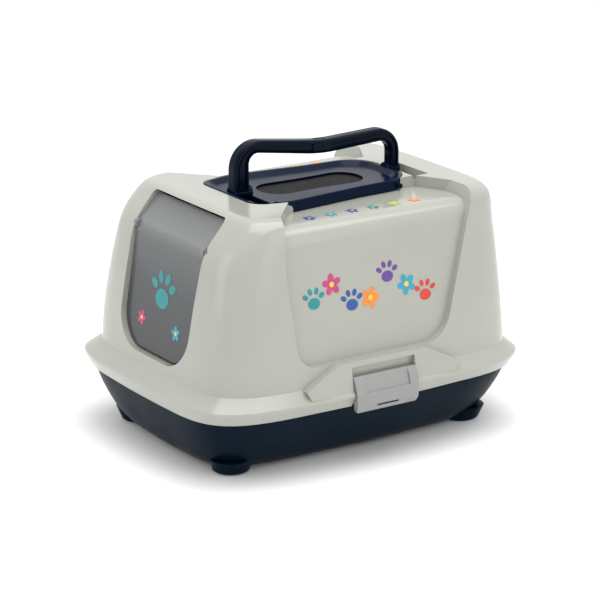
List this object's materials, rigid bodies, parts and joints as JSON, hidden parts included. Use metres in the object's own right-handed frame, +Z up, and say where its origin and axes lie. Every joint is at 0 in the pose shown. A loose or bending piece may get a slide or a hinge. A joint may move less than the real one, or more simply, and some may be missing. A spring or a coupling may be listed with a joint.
{
  "type": "cat litter box with hood",
  "caption": "Hooded cat litter box with a tray, latched hood, swing entry door, filter lid on the roof and a folding carry handle.",
  "frame": {"origin": "centre of the footprint, on the ground under the feet", "axes": "+Z up, the door faces -Y, +Y along the length towards the back, +X across the width"},
  "size_m": [0.403, 0.5046, 0.386],
  "materials": {
    "tray_plastic": "dark blue moulded plastic, satin to glossy",
    "hood_plastic": "glossy warm off-white moulded plastic",
    "door_plastic": "smoky translucent plastic",
    "lid_plastic": "dark blue moulded plastic, satin",
    "filter_felt": "dark grey fibrous carbon felt",
    "handle_plastic": "very dark blue moulded plastic, glossy",
    "latch_plastic": "white moulded plastic, satin"
  },
  "bodies": {
    "base": {"base_tray": "tray_plastic"},
    "hood": {"hood_shell": "hood_plastic", "carbon_filter": "filter_felt"},
    "door": {"entry_door": "door_plastic"},
    "lid": {"filter_lid": "lid_plastic"},
    "handle": {"carry_handle": "handle_plastic", "handle_band": "handle_plastic"},
    "latch_right": {"side_latch_right": "latch_plastic"},
    "latch_left": {"side_latch_left": "latch_plastic"}
  },
  "joints": [
    {"name": "hood_lift", "type": "slide", "parent": "base", "child": "hood", "axis": [0, 0, 1], "range_m": [0, 0.2]},
    {"name": "door_swing", "type": "hinge", "parent": "hood", "child": "door", "pos_m": [0, -0.193, 0.278], "axis": [1, 0, 0], "range_deg": [-50, 60]},
    {"name": "lid_lift", "type": "slide", "parent": "hood", "child": "lid", "axis": [0, 0, 1], "range_m": [0, 0.12]},
    {"name": "handle_fold", "type": "hinge", "parent": "lid", "child": "handle", "pos_m": [0, 0, 0.32], "axis": [0, 1, 0], "range_deg": [0, 68]},
    {"name": "latch_right_swing", "type": "hinge", "parent": "hood", "child": "latch_right", "pos_m": [0.1894, 0, 0.113], "axis": [0, -1, 0], "range_deg": [0, 70]},
    {"name": "latch_left_swing", "type": "hinge", "parent": "hood", "child": "latch_left", "pos_m": [-0.1894, 0, 0.113], "axis": [0, 1, 0], "range_deg": [0, 70]}
  ]
}
